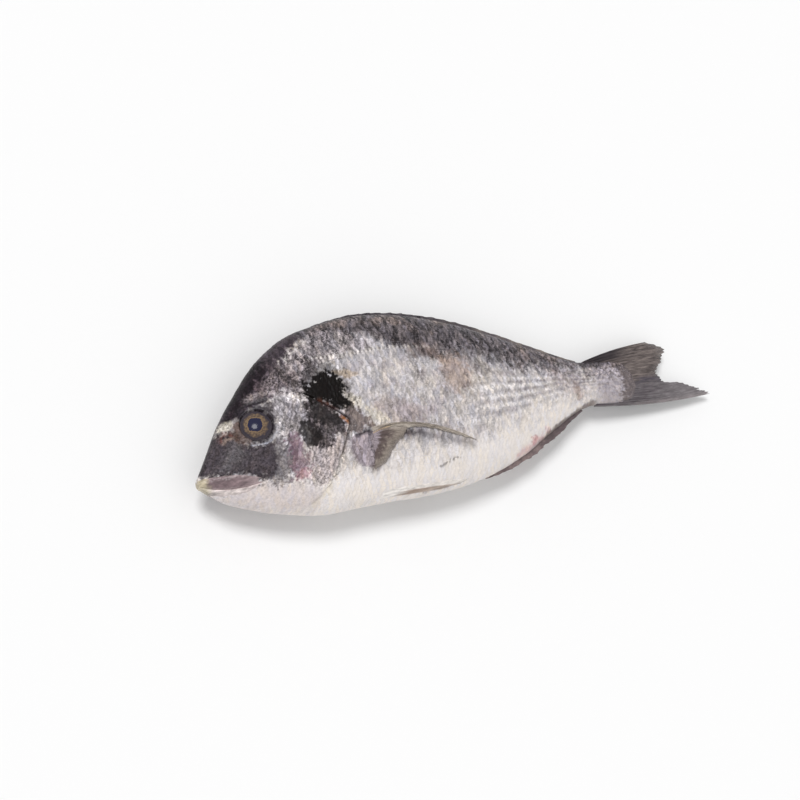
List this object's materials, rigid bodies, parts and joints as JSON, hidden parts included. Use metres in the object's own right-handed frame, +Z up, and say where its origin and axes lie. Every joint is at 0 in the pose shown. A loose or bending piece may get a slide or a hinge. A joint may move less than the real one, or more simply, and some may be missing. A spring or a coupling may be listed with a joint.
{
  "type": "whole raw fish",
  "caption": "Whole raw silver-grey fish with dark back, gill cover blotch, folded fins and forked tail, lying on its side.",
  "frame": {"origin": "middle of the fish's bounding box in X and Y, on the surface that it lies on", "axes": "+X from the snout to the tail, +Y towards the back, +Z up, out of the left flank that faces the viewer"},
  "size_m": [0.2964, 0.0936, 0.0378],
  "materials": {
    "fish_skin": "wet satin",
    "fish_fin": "wet satin",
    "fish_eye": "gloss",
    "fish_lip": "wet satin"
  },
  "bodies": {
    "root": {"fish": "fish_skin"}
  },
  "joints": []
}
